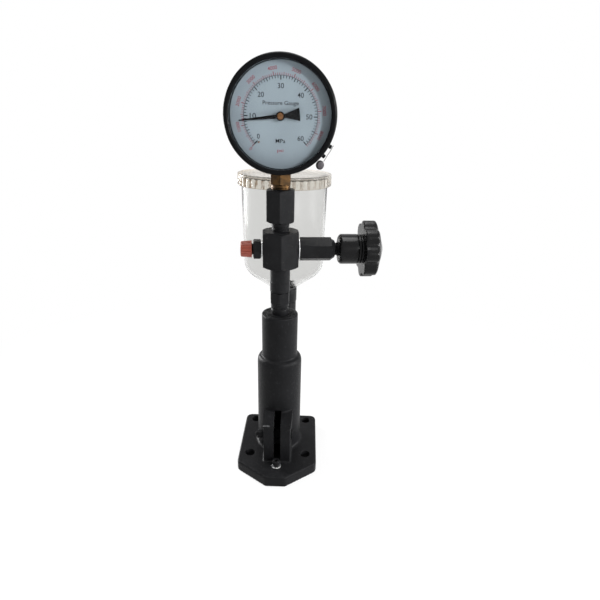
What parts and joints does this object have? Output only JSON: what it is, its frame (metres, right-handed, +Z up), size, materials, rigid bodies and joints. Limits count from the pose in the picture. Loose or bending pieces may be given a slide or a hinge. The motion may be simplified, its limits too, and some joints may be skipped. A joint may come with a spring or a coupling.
{
  "type": "diesel injector tester",
  "caption": "Upright hand pump tester for diesel injectors: flanged pump column, pressure gauge, shut-off valve with star knob and clear fuel cup.",
  "frame": {"origin": "on the underside of the base plate, on the axis of the pump column", "axes": "+X to the right, towards the valve's knob; -Y to the front, where the dial faces; +Z up the pump column"},
  "size_m": [0.1574, 0.1906, 0.4203],
  "materials": {
    "cast_black": "black paint on a fine cast texture",
    "steel_black": "black oxide",
    "steel_bright": "ground",
    "spring_steel": "oil tempered",
    "zinc_washer": "bright zinc",
    "brass": "machined, a little tarnished",
    "knob_black": "moulded, glossy",
    "cap_red": "red-brown, semi-matt",
    "clear_plastic": "clear",
    "lid_plastic": "clear, a little yellow",
    "window_glass": "polished",
    "dial_pale_blue": "satin print",
    "enamel_black": "gloss enamel",
    "rubber": "matt",
    "lead": "dull"
  },
  "bodies": {
    "stand": {"body_casting": "cast_black", "pivot_pin": "steel_black", "pin_clip_left": "steel_black", "pin_clip_right": "steel_black", "grease_nipple": "steel_bright", "plunger_spring": "spring_steel", "pump_barrel": "steel_black", "delivery_seat": "steel_black", "delivery_spring": "spring_steel", "outlet_fitting": "steel_black", "riser_tube": "steel_black", "manifold": "steel_black", "outlet_washer": "zinc_washer", "outlet_nipple": "steel_black", "valve_washer": "zinc_washer", "valve_body": "steel_black", "gauge_adapter": "steel_black", "gauge_washer": "brass", "gauge_stem": "brass", "gauge_case": "enamel_black", "bezel_ring": "enamel_black", "gauge_window": "window_glass", "dial_plate": "dial_pale_blue", "stop_pin": "brass", "movement_frame": "brass", "bourdon_tube": "brass", "tip_link": "brass", "seal_lug_upper": "enamel_black", "seal_lug_lower": "enamel_black", "lead_seal": "lead", "seal_wire": "steel_bright", "cup_seat": "steel_black", "feed_stud": "steel_black", "drain_plug": "steel_black", "cup_gasket": "rubber", "strainer": "brass", "cup_body": "clear_plastic", "stop_washer": "zinc_washer", "stop_screw": "steel_black"},
    "rocker": {"lever_knuckle": "steel_black"},
    "plunger_set": {"tappet": "steel_black", "plunger": "steel_bright", "spring_plate": "steel_black"},
    "delivery_poppet": {"delivery_valve": "steel_bright"},
    "outlet_cap": {"outlet_cap": "cap_red"},
    "needle": {"valve_needle": "steel_bright"},
    "handwheel": {"valve_spindle": "steel_black", "star_knob": "knob_black"},
    "needle_pointer": {"pointer": "enamel_black", "pointer_arbor": "brass"},
    "lid_seal": {"lid_liner": "rubber"},
    "lid": {"cup_lid": "lid_plastic"}
  },
  "joints": [
    {"name": "rocker_pivot", "type": "hinge", "parent": "stand", "child": "rocker", "pos_m": [0, -0.028, 0.0374], "axis": [1, 0, 0], "range_deg": [0, 20]},
    {"name": "plunger_slide", "type": "slide", "parent": "stand", "child": "plunger_set", "axis": [0, 0, 1], "range_m": [0, 0.0098], "deforming": ["plunger_spring"]},
    {"name": "delivery_valve_lift", "type": "slide", "parent": "stand", "child": "delivery_poppet", "axis": [0, 0, 1], "range_m": [0, 0.0015], "stiffness_N_per_m": 400, "deforming": ["delivery_spring"]},
    {"name": "outlet_cap_pull", "type": "slide", "parent": "stand", "child": "outlet_cap", "axis": [-0.9945, -0.1045, 0], "range_m": [0, 0.025]},
    {"name": "needle_slide", "type": "slide", "parent": "stand", "child": "needle", "axis": [0.9945, 0.1045, 0], "range_m": [0, 0.003]},
    {"name": "knob_turn", "type": "hinge", "parent": "needle", "child": "handwheel", "pos_m": [0.05917, 0.00622, 0.2446], "axis": [0.9945, 0.1045, 0], "range_deg": [0, 720]},
    {"name": "lid_lift", "type": "slide", "parent": "stand", "child": "lid_seal", "axis": [0, 0, 1], "range_m": [0, 0.008]},
    {"name": "lid_turn", "type": "hinge", "parent": "lid_seal", "child": "lid", "pos_m": [0, 0.07, 0.3106], "axis": [0, 0, 1], "range_deg": [0, 720]},
    {"name": "pointer_turn", "type": "hinge", "parent": "stand", "child": "needle_pointer", "pos_m": [0, -0.0145, 0.3698], "axis": [0, 1, 0], "range_deg": [-38.7, 231.3], "stiffness_Nm_per_rad": 0.001}
  ],
  "couplings": [
    {"joint": "plunger_slide", "follows": "rocker_pivot", "m_per_rad": 0.027858},
    {"joint": "needle_slide", "follows": "knob_turn", "m_per_rad": 0.00023873},
    {"joint": "lid_lift", "follows": "lid_turn", "m_per_rad": 0.00063661}
  ]
}
